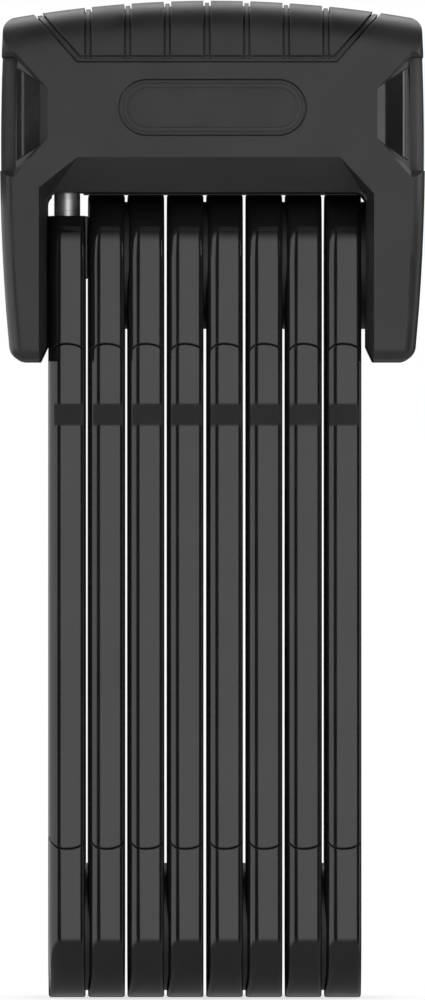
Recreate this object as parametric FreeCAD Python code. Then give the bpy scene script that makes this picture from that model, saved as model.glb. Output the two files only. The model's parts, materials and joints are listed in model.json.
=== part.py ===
"""Folding bike lock: eight cased steel links hinged under a two-armed lock head.

Millimetres. The origin is the centre of the footprint under the folded links, +Z runs up to the head,
+X to the arm that carries the head pivot, and -Y is the front, where the emblem sits. The lock is folded
and unlocked: the locking pin stands in the catch slot and the bolt is drawn back.
"""
import FreeCAD, Part
import math
import os

# Link chain. Link 1 is the free end with the locking pin; link 8 hangs from the head.
LINK_COUNT = 8
PIVOT_SPAN = 133.0
LINK_WIDTH = 28.4
LINK_THICKNESS = 7.4
LINK_GAP = 0.51
STACK_CENTRE_X = -1.55
CASING_LEFT_ROUND = 2.6
CASING_RIGHT_ROUND = 1.1
CASING_TIP_ROUND = 0.5
CASING_TIP_START_DEG = 42.0
PLATE_THICKNESS = 5.5
PLATE_WIDTH = 25.2
SEAM_RADIUS = 21.3
SEAM_GAP = 0.24
SEAM_FLARE = 1.1

# Hinges
RIVET_RADIUS = 4.0
RIVET_HEAD_RADIUS = 6.5
RIVET_HEAD_SINK = 1.6
RIVET_HEAD_RISE = 0.6
RIVET_HEAD_CHAMFER = 0.4
WASHER_RADIUS = 12.8
TIGHT = 0.02
RUNNING = 0.05
WINDOW_CLEARANCE = 0.25

# Free end of link 1
FREE_END_CUT = 4.4
FREE_CAP_WALL = 1.4
PAD_HEIGHT = 12.4
PAD_HALF_WIDTH = 7.0
PAD_CLEARANCE = 0.07
PIN_RADIUS = 2.6
PIN_REACH = 11.0
PIN_TONGUE = (3.0, 12.0, 17.5)
PIN_TIP_CHAMFER = 0.8
NECK_RADIUS = 1.6
NECK_LENGTH = 3.4
PIN_HEAD_LENGTH = 3.0
CROSS_PIN_RADIUS = 1.6

# Head
HEAD_HEIGHT_TOTAL = 200.0
HEAD_HALF_WIDTH = 42.5
HEAD_TOP_HALF_WIDTH = 41.8
HEAD_DEPTH = 44.0
CROWN_RADIUS = 232.0
CROWN_ROUND = 9.0
CORNER_ROUND = 3.0
SIDE_ROUND = 2.5
HEAD_TO_LINK_GAP = 0.2
ARM_DROP = 33.8
ARM_SLANT = 10.4
ARM_TAPER = 1.2
ARM_FOOT_TAPER = 0.9
LEFT_ARM_INNER_X = -33.2
RIGHT_ARM_INNER_X = 30.8
OPENING_ROUND = 2.2
BEVEL_HEIGHT = 6.9
BEVEL_DEPTH = 7.0
ARM_BEVEL = 1.5
# Slanted corners of the opening's mouth and of its throat: reach inward, height over the underside
MOUTH_CORNERS = ((6.2, 0.8), (5.3, -0.4))
THROAT_CORNERS = ((1.2, -1.2), (0.8, -0.8))
WALL = 3.0
# Limits that tell the head's edges apart: outer silhouette, arm's outer corners, opening, foot of an arm
SIDE_ZONE_X = 40.0
OUTER_ZONE_X = 36.0
INNER_ZONE_X = 27.0
FOOT_ZONE = 4.0

# Ribbed grip
RIB_COUNT = 8
RIB_PITCH = 7.93
GRIP_CENTRE_X = -1.1
GRIP_LOW_HALF_WIDTH = 25.7
GRIP_TOP_HALF_WIDTH = 33.3
GRIP_LOW_BELOW_TOP = 11.9
GRIP_TOP_BELOW_TOP = 3.2
GRIP_THICKNESS = 1.8
RIB_GROOVE_WIDTH = 1.5
RIB_GROOVE_DEPTH = 1.0
BEAD_WIDTH = 0.85
BEAD_DEPTH = 0.4

# Side windows and their panels
WINDOW_CENTRE_Z = 177.2
WINDOW_OUTER_HALF_HEIGHT = 11.4
WINDOW_INNER_HALF_HEIGHT = 6.2
WINDOW_WIDTH = 8.0
WINDOW_SHOULDER = 2.8
WINDOW_FACET = 1.6
WINDOW_CORNER_SHARE = 0.8
PANEL_SET_BACK = 1.2
PANEL_SIDE_SET_BACK = 0.15
PANEL_LENS_SET_BACK = 2.9
PANEL_LENS_HALF_HEIGHT = 9.6
PANEL_LENS_DEPTH = 4.6
PANEL_LENS_FALL = 1.3
PANEL_ROUND = 2.6
PANEL_STEP_ROUND = 2.0
PANEL_THICKNESS = 2.7
PANEL_FLANGE = 1.0
PANEL_FLANGE_THICKNESS = 0.8

# Emblem
EMBLEM_CENTRE_Z = 178.4
EMBLEM_WIDTH = 37.4
EMBLEM_HEIGHT = 11.2
EMBLEM_RIM = 1.6
EMBLEM_POCKET = 1.0
EMBLEM_RISE = 0.45

# Lock case and mechanism
CASE_DEPTH = 26.0
CASE_LEFT_X = -36.8
CASE_RIGHT_X = 37.5
CASE_TOP_Z = 190.0
CASE_CHAMFER = 1.0
LEG_THICKNESS = 5.5
CATCH_CLEARANCE = 0.4
CATCH_HEADROOM = 0.4
CYLINDER_AXIS_Z = 181.5
BARREL_RADIUS = 8.0
BARREL_LEFT_X = -38.5
BARREL_RIGHT_X = -15.6
CORE_RADIUS = 6.6
CORE_BORE_RADIUS = 4.9
CORE_STUB_RADIUS = 4.6
CORE_REAR_WALL = 2.0
CORE_TONGUE = (1.5, 6.8, 2.0)
DRILL_DISC_THICKNESS = 1.5
DISC_COUNT = 8
DISC_THICKNESS = 1.9
DISC_GAP = 0.35
KEY_SLOT = (2.4, 7.0)
SIDEBAR_RADIUS = 0.85
CLIP_THICKNESS = 0.8
CLIP_GROOVE_DEPTH = 0.6
CLIP_OPENING = 4.8
CAM_LEFT_X = -13.9
CAM_RIGHT_X = -0.6
CAM_RADIUS = 6.4
CAM_BORE_RADIUS = 1.5
GROOVE_DEPTH = 2.2
GROOVE_STEP_DEG = 5.0
LOCK_TURN_DEG = 90.0
BOLT_TRAVEL = 8.0
BOLT_THICKNESS = 3.0
BOLT_WIDTH = 9.0
BOLT_FORK_GAP = 0.15
BOLT_REST_GAP = 0.2
BOLT_PLAY = 0.1
BOLT_TAIL = 2.0
BOLT_TIP_CHAMFER = 0.8
STUD_RADIUS = 1.5
STUD_PLAY = 0.15
STUD_TO_CAM_END = 1.1
SPRING_LENGTH = 13.0
SPRING_COIL_RADIUS = 1.2
SPRING_WIRE_RADIUS = 0.22
SPRING_TURNS = 9
SPRING_END_GAP = 0.1

# Keyhole cover
COVER_WIDTH = 12.4
COVER_HEIGHT = 11.4
COVER_THICKNESS = 1.2
COVER_SET_BACK = 0.9
COVER_FLANGE = (0.8, 0.6)
COVER_TRAVEL = 12.6
COVER_PLAY = 0.08
COVER_RIB_PLACES = (-4.2, -2.0)
COVER_RIB_RISE = 0.7
COVER_RIB_WIDTH = 1.0
COVER_RIB_MARGIN = 2.0
KEYHOLE_RADIUS = 5.0

# Shell screws
SCREW_RADIUS = 1.25
SCREW_HEAD_RADIUS = 2.3
SCREW_HEAD_HEIGHT = 1.6
SCREW_HEAD_SINK = 1.0
BOSS_RADIUS = 3.0
HEX_RADIUS = 1.6
SCREW_SOCKET_DEPTH = 1.0
CASE_SCREW_X = 20.0
CASE_SCREW_HEIGHTS = (170.5, 184.0)
ARM_SCREW_INSET = 4.6
ARM_SCREW_ABOVE_TIP = 7.0
ARM_SCREW_BELOW_UNDERSIDE = 4.0

# Worked out from the dimensions above
LINK_RADIUS = LINK_WIDTH / 2
LINK_PITCH = LINK_THICKNESS + LINK_GAP
PLATE_RADIUS = PLATE_WIDTH / 2
LOW_PIVOT_Z = LINK_RADIUS
TOP_PIVOT_Z = LINK_RADIUS + PIVOT_SPAN
UNDERSIDE_Z = TOP_PIVOT_Z + LINK_RADIUS + HEAD_TO_LINK_GAP
ARM_TIP_Z = UNDERSIDE_Z - ARM_DROP
CROWN_CENTRE_Z = HEAD_HEIGHT_TOTAL - CROWN_RADIUS
FREE_END_Z = TOP_PIVOT_Z + LINK_RADIUS - FREE_END_CUT
PIN_SEAT_Z = FREE_END_Z - FREE_CAP_WALL
PIN_TIP_Z = UNDERSIDE_Z + PIN_REACH
NECK_TOP_Z = PIN_TIP_Z - PIN_HEAD_LENGTH
NECK_LOW_Z = NECK_TOP_Z - NECK_LENGTH
CASE_LOW_Z = UNDERSIDE_Z + WALL + 0.1
CATCH_HALF_WIDTH = PIN_RADIUS + CATCH_CLEARANCE
BOLT_LOW_Z = (NECK_LOW_Z + NECK_TOP_Z - BOLT_THICKNESS) / 2
BOLT_TOP_Z = BOLT_LOW_Z + BOLT_THICKNESS
PIN_X = STACK_CENTRE_X - LINK_PITCH * (LINK_COUNT - 1) / 2


def vec(x, y, z):
    """Point or direction."""
    return FreeCAD.Vector(x, y, z)


def link_x(number):
    """Centre plane of one link, numbered from the free end."""
    return STACK_CENTRE_X + LINK_PITCH * (number - (LINK_COUNT + 1) / 2)


def hinge_z(number):
    """Axis height of the hinge that joins link `number` to the next one or to the head."""
    return TOP_PIVOT_Z if number % 2 == 0 else LOW_PIVOT_Z


def box(x_low, x_high, y_low, y_high, z_low, z_high):
    """Block between two corners."""
    return Part.makeBox(x_high - x_low, y_high - y_low, z_high - z_low, vec(x_low, y_low, z_low))


def rod_x(radius, x_low, x_high, y, z):
    """Round bar along X."""
    return Part.makeCylinder(radius, x_high - x_low, vec(x_low, y, z), vec(1, 0, 0))


def rod_y(radius, y_low, y_high, x, z):
    """Round bar along Y."""
    return Part.makeCylinder(radius, y_high - y_low, vec(x, y_low, z), vec(0, 1, 0))


def rod_z(radius, z_low, z_high, x, y):
    """Round bar along Z."""
    return Part.makeCylinder(radius, z_high - z_low, vec(x, y, z_low), vec(0, 0, 1))


def prism_y(outline, y_low, y_high):
    """Straight-sided outline of (x, z) points, run along Y."""
    points = [vec(x, y_low, z) for x, z in outline]
    face = Part.Face(Part.makePolygon(points + points[:1]))
    return face.extrude(vec(0, y_high - y_low, 0))


def stadium_bar(x_low, x_high, radius, z_low, z_high):
    """Flat bar lying across X with round ends centred at z_low and z_high."""
    middle = box(x_low, x_high, -radius, radius, z_low, z_high)
    ends = [rod_x(radius, x_low, x_high, 0, z) for z in (z_low, z_high)]
    return middle.multiFuse(ends).removeSplitter()


def stadium_plate(width, height, y_low, y_high, centre_z):
    """Plate facing the front with half-round left and right ends."""
    radius = height / 2
    reach = width / 2 - radius
    middle = box(-reach, reach, y_low, y_high, centre_z - radius, centre_z + radius)
    ends = [rod_y(radius, y_low, y_high, x, centre_z) for x in (-reach, reach)]
    return middle.multiFuse(ends).removeSplitter()


def edges_where(shape, test):
    """Edges whose middle point passes the test."""
    return [edge for edge in shape.Edges if test(edge.CenterOfMass, edge)]


# ---------------------------------------------------------------- links

def plate_blank(number, grow=0.0):
    """Steel bar of one link without its holes; link 1 is cut flat at the free end."""
    half = PLATE_THICKNESS / 2 + grow
    x = link_x(number)
    bar = stadium_bar(x - half, x + half, PLATE_RADIUS + grow, LOW_PIVOT_Z, TOP_PIVOT_Z)
    if number > 1:
        return bar
    return bar.common(box(x - half, x + half, -LINK_RADIUS, LINK_RADIUS, 0, PIN_SEAT_Z + grow))


def head_seat(number, side, radius, reach):
    """Round sink for a rivet head in one face of a link plate; side is -1 left, +1 right."""
    face = link_x(number) + side * PLATE_THICKNESS / 2
    low, high = sorted((face - side * RIVET_HEAD_SINK, face + side * reach))
    z = hinge_z(number) if side < 0 else hinge_z(number - 1)
    return rod_x(radius, low, high, 0, z)


def link_plate(number):
    """Hardened bar with its hinge bores, the sinks for the rivet heads and, on link 1, the pin slot."""
    plate = plate_blank(number)
    x = link_x(number)
    half = PLATE_THICKNESS
    plate = plate.cut(rod_x(RIVET_RADIUS + RUNNING, x - half, x + half, 0, hinge_z(number)))
    plate = plate.cut(head_seat(number, -1, RIVET_HEAD_RADIUS + RUNNING, 1.0))
    if number > 1:
        plate = plate.cut(rod_x(RIVET_RADIUS + TIGHT, x - half, x + half, 0, hinge_z(number - 1)))
        return plate.cut(head_seat(number, 1, RIVET_HEAD_RADIUS + TIGHT, 1.0))
    thick, wide, deep = PIN_TONGUE
    slot = box(x - thick / 2 - TIGHT, x + thick / 2 + TIGHT, -wide / 2 - TIGHT, wide / 2 + TIGHT,
               PIN_SEAT_Z - deep - TIGHT, PIN_SEAT_Z + 1)
    return plate.cut(slot).cut(rod_x(CROSS_PIN_RADIUS + TIGHT, x - half, x + half, 0, cross_pin_z()))


def casing_bar(x):
    """Sharp-edged bar of a casing; extra corners mark where its rounding starts to fade near each tip."""
    fade = math.radians(CASING_TIP_START_DEG)
    turns = (0.0, fade, math.pi / 2, math.pi - fade, math.pi)

    def rim(centre_z, angle):
        y, z = LINK_RADIUS * math.cos(angle), centre_z + LINK_RADIUS * math.sin(angle)
        return vec(x - LINK_THICKNESS / 2, y, z)

    edges = []
    for centre_z, next_z, start in ((TOP_PIVOT_Z, LOW_PIVOT_Z, 0.0), (LOW_PIVOT_Z, TOP_PIVOT_Z, math.pi)):
        for first, last in zip(turns, turns[1:]):
            points = [rim(centre_z, start + angle) for angle in (first, (first + last) / 2, last)]
            edges.append(Part.Arc(*points).toShape())
        edges.append(Part.makeLine(points[-1], rim(next_z, start + math.pi)))
    return Part.Face(Part.Wire(edges)).extrude(vec(LINK_THICKNESS, 0, 0))


def casing_round(edge, x):
    """Rounding at both ends of one rim edge: full along the bar, small at the tips."""
    radius = CASING_LEFT_ROUND if edge.CenterOfMass.x < x else CASING_RIGHT_ROUND
    ends = (edge.Vertexes[0].Point, edge.Vertexes[-1].Point)
    return [CASING_TIP_ROUND if abs(end.y) < 1e-6 else radius for end in ends]


def casing_blank(number):
    """Outside form of one link's casing, rounder along its left rim than along its right one."""
    x = link_x(number)
    document = FreeCAD.newDocument()
    bar = document.addObject("Part::Feature")
    bar.Shape = casing_bar(x)
    numbered = enumerate(bar.Shape.Edges, 1)
    rims = [(index, edge) for index, edge in numbered if abs(edge.CenterOfMass.x - x) > 1]
    rounded = document.addObject("Part::Fillet")
    rounded.Base = bar
    rounded.Edges = [(index, *casing_round(edge, x)) for index, edge in rims]
    document.recompute()
    shape = rounded.Shape.copy()
    FreeCAD.closeDocument(document.Name)
    return shape


def seam_drum(radius, x, z):
    """Waisted drum about a pivot axis; its rim is the arched seam where an end cap meets the sleeve."""
    reach = LINK_PITCH
    rim = z + radius + SEAM_FLARE * (2 * reach / LINK_THICKNESS) ** 2
    left, right = vec(x - reach, 0, rim), vec(x + reach, 0, rim)
    axis = [vec(x + reach, 0, z), vec(x - reach, 0, z)]
    edges = [Part.Arc(left, vec(x, 0, z + radius), right).toShape(), Part.makeLine(right, axis[0]),
             Part.makeLine(*axis), Part.makeLine(axis[1], left)]
    return Part.Face(Part.Wire(edges)).revolve(axis[0], vec(1, 0, 0), 360)


def link_sleeve(number):
    """Soft middle sleeve between the two seams."""
    x = link_x(number)
    sleeve = casing_blank(number)
    for z in (LOW_PIVOT_Z, TOP_PIVOT_Z):
        sleeve = sleeve.cut(seam_drum(SEAM_RADIUS + SEAM_GAP / 2, x, z))
    return sleeve.cut(plate_blank(number, TIGHT))


def cap_windows(number):
    """Openings in the end caps over the rivet heads and round the friction washers."""
    x = link_x(number)
    out = LINK_PITCH
    rivet = RIVET_HEAD_RADIUS + WINDOW_CLEARANCE
    washer = WASHER_RADIUS + 2 * RUNNING
    windows = [rod_x(rivet, x - out, x, 0, hinge_z(number)), rod_x(washer, x, x + out, 0, hinge_z(number))]
    if number > 1:
        windows.append(rod_x(washer, x - out, x, 0, hinge_z(number - 1)))
        windows.append(rod_x(rivet, x, x + out, 0, hinge_z(number - 1)))
    return windows


def free_end_pads():
    """Low pads on both faces of the free end that keep the pin lined up with the catch."""
    x = link_x(1)
    half = LINK_THICKNESS / 2
    left = LEFT_ARM_INNER_X + PAD_CLEARANCE
    right = x + half + LINK_GAP - PAD_CLEARANCE
    top = FREE_END_Z
    return box(left, right, -PAD_HALF_WIDTH, PAD_HALF_WIDTH, top - PAD_HEIGHT, top)


def link_caps(number):
    """Lower and upper end caps."""
    x = link_x(number)
    casing = casing_blank(number)
    if number == 1:
        out = LINK_PITCH
        casing = casing.fuse(free_end_pads())
        casing = casing.common(box(x - out, x + out, -LINK_RADIUS, LINK_RADIUS, 0, FREE_END_Z))
        casing = casing.cut(rod_z(PIN_RADIUS + RUNNING, PIN_SEAT_Z, FREE_END_Z + 1, x, 0))
    hollow = [plate_blank(number, TIGHT)] + cap_windows(number)
    caps = []
    for z in (LOW_PIVOT_Z, TOP_PIVOT_Z):
        cap = casing.common(seam_drum(SEAM_RADIUS - SEAM_GAP / 2, x, z))
        caps += cap.cut(Part.makeCompound(hollow)).Solids
    return Part.makeCompound(caps)


def hinge_sides(number):
    """Left and right steel faces of a hinge, and the right end of its rivet."""
    left_face = link_x(number) + PLATE_THICKNESS / 2
    if number < LINK_COUNT:
        right_face = link_x(number + 1) - PLATE_THICKNESS / 2
        return left_face, right_face, right_face + PLATE_THICKNESS + RIVET_HEAD_RISE
    return left_face, CASE_RIGHT_X - LEG_THICKNESS, CASE_RIGHT_X


def rivet(number):
    """Hinge rivet, held in the next link or the head; the left head runs in the link's plate."""
    z = hinge_z(number)
    right = hinge_sides(number)[2]
    right_thick = RIVET_HEAD_SINK + (RIVET_HEAD_RISE if number < LINK_COUNT else 0) - TIGHT
    left = link_x(number) - PLATE_THICKNESS / 2 - RIVET_HEAD_RISE
    left_thick = RIVET_HEAD_SINK + RIVET_HEAD_RISE - RUNNING
    heads = [
        rod_x(RIVET_HEAD_RADIUS, left, left + left_thick, 0, z),
        rod_x(RIVET_HEAD_RADIUS, right - right_thick, right, 0, z),
    ]
    body = rod_x(RIVET_RADIUS, left, right, 0, z).multiFuse(heads).removeSplitter()
    rims = edges_where(body, lambda c, e: min(abs(c.x - left), abs(c.x - right)) < 1e-6)
    return body.makeChamfer(RIVET_HEAD_CHAMFER, rims)


def washer(number):
    """Friction washer that fills the gap of one hinge."""
    left, right, _ = hinge_sides(number)
    z = hinge_z(number)
    ring = rod_x(WASHER_RADIUS, left + RUNNING, right - TIGHT, 0, z)
    return ring.cut(rod_x(RIVET_RADIUS + TIGHT, left, right, 0, z))


def cross_pin_z():
    """Height of the cross pin through the tongue of the locking pin."""
    return PIN_SEAT_Z - PIN_TONGUE[2] / 2


def locking_pin():
    """Turned pin with a neck for the bolt, standing on a tongue that sits in link 1's plate."""
    x = link_x(1)
    thick, wide, deep = PIN_TONGUE
    tongue = box(x - thick / 2, x + thick / 2, -wide / 2, wide / 2, PIN_SEAT_Z - deep, PIN_SEAT_Z + TIGHT)
    shaft = rod_z(PIN_RADIUS, PIN_SEAT_Z + TIGHT, PIN_TIP_Z, x, 0)
    tip = edges_where(shaft, lambda c, e: abs(c.z - PIN_TIP_Z) < 1e-6)
    shaft = shaft.makeChamfer(PIN_TIP_CHAMFER, tip)
    neck = rod_z(PIN_RADIUS + 1, NECK_LOW_Z, NECK_TOP_Z, x, 0)
    neck = neck.cut(rod_z(NECK_RADIUS, NECK_LOW_Z - 1, NECK_TOP_Z + 1, x, 0))
    pin = shaft.cut(neck).fuse(tongue).removeSplitter()
    return pin.cut(rod_x(CROSS_PIN_RADIUS + TIGHT, x - thick, x + thick, 0, cross_pin_z()))


def cross_pin():
    """Dowel that ties the locking pin into link 1's plate."""
    x = link_x(1)
    half = PLATE_THICKNESS / 2
    return rod_x(CROSS_PIN_RADIUS, x - half, x + half, 0, cross_pin_z())


# ---------------------------------------------------------------- head form

def head_outline(inset):
    """Front silhouette of the head with sharp corners, as a closed wire in the plane y = 0."""
    top = HEAD_TOP_HALF_WIDTH - inset
    wide = HEAD_HALF_WIDTH - inset
    slant = wide - ARM_TAPER
    foot = slant - ARM_FOOT_TAPER
    crown = CROWN_RADIUS - inset
    corner_z = CROWN_CENTRE_Z + math.sqrt(crown ** 2 - top ** 2)
    slant_z = ARM_TIP_Z + ARM_SLANT
    widest_z = UNDERSIDE_Z + ARM_SLANT
    tip_z = ARM_TIP_Z + inset
    inner = min(inset, WALL)
    left = LEFT_ARM_INNER_X - inner
    right = RIGHT_ARM_INNER_X + inner
    roof_z = UNDERSIDE_Z + inset
    chamfer = ARM_BEVEL if inset == 0 else 0.0

    def arc(start, middle, end):
        return Part.Arc(*[vec(x, 0, z) for x, z in (start, middle, end)]).toShape()

    outer = [arc((-top, corner_z), (0, HEAD_HEIGHT_TOTAL - inset), (top, corner_z)),
             arc((top, corner_z), (wide, widest_z), (slant, slant_z)),
             arc((-slant, slant_z), (-wide, widest_z), (-top, corner_z))]
    corners = [(slant, slant_z), (foot, tip_z), (right + chamfer, tip_z), (right, tip_z + 2 * chamfer),
               (right, roof_z), (left, roof_z),
               (left, tip_z + 2 * chamfer), (left - chamfer, tip_z), (-foot, tip_z), (-slant, slant_z)]
    points = [vec(x, 0, z) for x, z in corners]
    lines = [Part.makeLine(a, b) for a, b in zip(points, points[1:]) if a.distanceToPoint(b) > 1e-6]
    return Part.Wire(outer[:2] + lines + outer[2:])


def opening_outline(bevel, roof_z, corners, grow):
    """Outline of the opening between the arms, with a flat roof and a slanted corner on each side."""
    left, right = LEFT_ARM_INNER_X, RIGHT_ARM_INNER_X
    below = ARM_TIP_Z - 10
    (left_reach, left_rise), (right_reach, right_rise) = corners
    return [
        (left - bevel - grow, below), (left - bevel - grow, UNDERSIDE_Z + left_rise),
        (left + left_reach - grow, roof_z + grow), (right - right_reach + grow, roof_z + grow),
        (right + bevel + grow, UNDERSIDE_Z + right_rise), (right + bevel + grow, below),
    ]


def opening_flare(side, grow):
    """Bevelled mouth of the opening between the arms, on the front (-1) or the rear (+1)."""
    face = HEAD_DEPTH / 2
    mouth = opening_outline(ARM_BEVEL, UNDERSIDE_Z + BEVEL_HEIGHT, MOUTH_CORNERS, grow)
    throat = opening_outline(0.0, UNDERSIDE_Z, THROAT_CORNERS, grow)
    wires = []
    for outline, y in ((mouth, face), (throat, face - BEVEL_DEPTH)):
        points = [vec(x, side * y, z) for x, z in outline]
        wires.append(Part.makePolygon(points + points[:1]))
    flare = Part.makeLoft(wires, True, True)
    if grow > 0:
        return flare
    return flare.fuse(prism_y(mouth, *sorted((side * face, side * (face + 1)))))


def head_body(inset=0.0):
    """Solid form of the head; `inset` draws it in on every side and leaves the small corners sharp."""
    half = HEAD_DEPTH / 2 - inset
    prism = Part.Face(head_outline(inset)).extrude(vec(0, 2 * half, 0))
    prism.translate(vec(0, -half, 0))
    if inset == 0:
        prism = prism.makeFillet(CORNER_ROUND, edges_where(prism, is_outer_corner))
        prism = prism.makeFillet(OPENING_ROUND, edges_where(prism, is_opening_corner))
        rims = edges_where(prism, lambda c, e: abs(c.x) > SIDE_ZONE_X and abs(abs(c.y) - half) < 1e-6)
        prism = prism.makeFillet(SIDE_ROUND, rims)
    form = prism.common(crown_drum(inset))
    for side in (-1, 1):
        form = form.cut(opening_flare(side, inset))
    return form


def is_outer_corner(centre, edge):
    """Edges along Y at the crown's ends and at the outer foot of each arm."""
    along_y = abs(edge.tangentAt(edge.FirstParameter).y) > 0.99
    at_crown = centre.z > HEAD_HEIGHT_TOTAL - CROWN_ROUND
    at_foot = centre.z < ARM_TIP_Z + FOOT_ZONE
    return along_y and abs(centre.x) > OUTER_ZONE_X and (at_crown or at_foot)


def is_opening_corner(centre, edge):
    """Edges along Y where the underside meets the arms."""
    along_y = abs(edge.tangentAt(edge.FirstParameter).y) > 0.99
    between_arms = LEFT_ARM_INNER_X - BEVEL_HEIGHT < centre.x < RIGHT_ARM_INNER_X + BEVEL_HEIGHT
    at_arm = between_arms and abs(centre.x) > INNER_ZONE_X
    return along_y and at_arm and abs(centre.z - UNDERSIDE_Z) < FOOT_ZONE


def crown_drum(inset):
    """Body of revolution about an axis along Y that rounds the crown into the front and rear faces."""
    half = HEAD_DEPTH / 2 - inset
    outer = CROWN_RADIUS - inset + 0.03
    round_off = CROWN_ROUND - inset
    inner = CROWN_RADIUS - HEAD_HEIGHT_TOTAL + ARM_TIP_Z - 20
    z = CROWN_CENTRE_Z
    diagonal = round_off * (1 - math.sqrt(0.5))
    points = [vec(0, -half, z + inner), vec(0, -half, z + outer - round_off),
              vec(0, round_off - half, z + outer), vec(0, half - round_off, z + outer),
              vec(0, half, z + outer - round_off), vec(0, half, z + inner)]
    edges = [
        Part.makeLine(points[0], points[1]),
        Part.Arc(points[1], vec(0, diagonal - half, z + outer - diagonal), points[2]).toShape(),
        Part.makeLine(points[2], points[3]),
        Part.Arc(points[3], vec(0, half - diagonal, z + outer - diagonal), points[4]).toShape(),
        Part.makeLine(points[4], points[5]),
        Part.makeLine(points[5], points[0]),
    ]
    section = Part.Face(Part.Wire(edges))
    section.rotate(vec(0, 0, z), vec(0, 1, 0), -30)
    return section.revolve(vec(0, 0, z), vec(0, 1, 0), 60)


def outside_of(region, depth):
    """Part of a region that lies outside the head form drawn in by `depth`."""
    return region.cut(head_body(depth))


def head_room(y_low, y_high):
    """Block that holds the whole head between two depths."""
    return box(-50, 50, y_low, y_high, 100, 210)


# ---------------------------------------------------------------- grip

def grip_outline(grow):
    """Trapezoid, in front view, that the grip fills; it widens towards the crown."""
    low = HEAD_HEIGHT_TOTAL - GRIP_LOW_BELOW_TOP - grow
    top = HEAD_HEIGHT_TOTAL - GRIP_TOP_BELOW_TOP
    slope = (GRIP_TOP_HALF_WIDTH - GRIP_LOW_HALF_WIDTH) / (GRIP_LOW_BELOW_TOP - GRIP_TOP_BELOW_TOP)
    side = grow * math.hypot(1, slope) - slope * grow
    above = top + 8
    low_half = GRIP_LOW_HALF_WIDTH + side
    top_half = low_half + slope * (above - low)
    x = GRIP_CENTRE_X
    return [(x - low_half, low), (x + low_half, low), (x + top_half, above), (x - top_half, above)]


def grip_region(grow=0.0):
    """Grip trapezoid run through the whole depth of the head."""
    return prism_y(grip_outline(grow), -HEAD_DEPTH / 2 - 1, HEAD_DEPTH / 2 + 1)


def grip_ring(width):
    """Band of one width along the grip's edge."""
    return grip_region(width / 2).cut(grip_region(-width / 2))


def rib_slots(width):
    """Planes of one width between the ribs."""
    centres = [GRIP_CENTRE_X + RIB_PITCH * (index - RIB_COUNT / 2) for index in range(1, RIB_COUNT)]
    half = width / 2
    return Part.makeCompound([box(x - half, x + half, -23, 23, 150, 210) for x in centres])


def beaded_groove(band):
    """Cutter for a groove along a band, with a low bead along its middle."""
    wide = band(RIB_GROOVE_WIDTH)
    edges = wide.cut(band(BEAD_WIDTH))
    return outside_of(wide, BEAD_DEPTH).fuse(outside_of(edges, RIB_GROOVE_DEPTH))


def grip_insert():
    """Soft ribbed saddle over the crown."""
    saddle = outside_of(grip_region(-TIGHT).common(head_body()), GRIP_THICKNESS)
    return saddle.cut(beaded_groove(rib_slots)).cut(beaded_groove(grip_ring))


# ---------------------------------------------------------------- side windows

def window_outline(side, grow):
    """Side window in front view: a trapezoid that opens towards the side of the head."""
    outer_x = HEAD_HALF_WIDTH + 1
    near = HEAD_HALF_WIDTH - WINDOW_SHOULDER
    inner_x = HEAD_HALF_WIDTH - WINDOW_WIDTH - grow
    outer = WINDOW_OUTER_HALF_HEIGHT + grow * WINDOW_CORNER_SHARE
    inner = WINDOW_INNER_HALF_HEIGHT - grow * WINDOW_CORNER_SHARE
    z = WINDOW_CENTRE_Z
    points = [(outer_x, z - outer), (near, z - outer), (inner_x, z - inner),
              (inner_x, z + inner), (near, z + outer), (outer_x, z + outer)]
    return [(side * x, z_value) for x, z_value in points]


def window_region(side, grow=0.0):
    """Side window run through the whole depth of the head."""
    return prism_y(window_outline(side, grow), -HEAD_DEPTH / 2 - 1, HEAD_DEPTH / 2 + 1)


def window_facets(side):
    """Sloping rims of a side window on the front and rear faces."""
    face = HEAD_DEPTH / 2
    cutters = []
    for sign in (-1, 1):
        wires = []
        for grow, y in ((WINDOW_FACET, face), (0.0, face - PANEL_SET_BACK)):
            points = [vec(x, sign * y, z) for x, z in window_outline(side, grow)]
            wires.append(Part.makePolygon(points + points[:1]))
        cutters.append(Part.makeLoft(wires, True, True))
    return cutters


def lens_region(side):
    """Room of the panel's narrower front lens, which stands in from the head's side."""
    outer_x = HEAD_HALF_WIDTH - PANEL_LENS_SET_BACK
    inner_x = HEAD_HALF_WIDTH - WINDOW_WIDTH
    z = WINDOW_CENTRE_Z
    outer, inner = PANEL_LENS_HALF_HEIGHT, WINDOW_INNER_HALF_HEIGHT
    points = [(outer_x, z - outer), (inner_x, z - inner), (inner_x, z + inner), (outer_x, z + outer)]
    return prism_y([(side * x, z_value) for x, z_value in points], -HEAD_DEPTH, 0)


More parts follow.
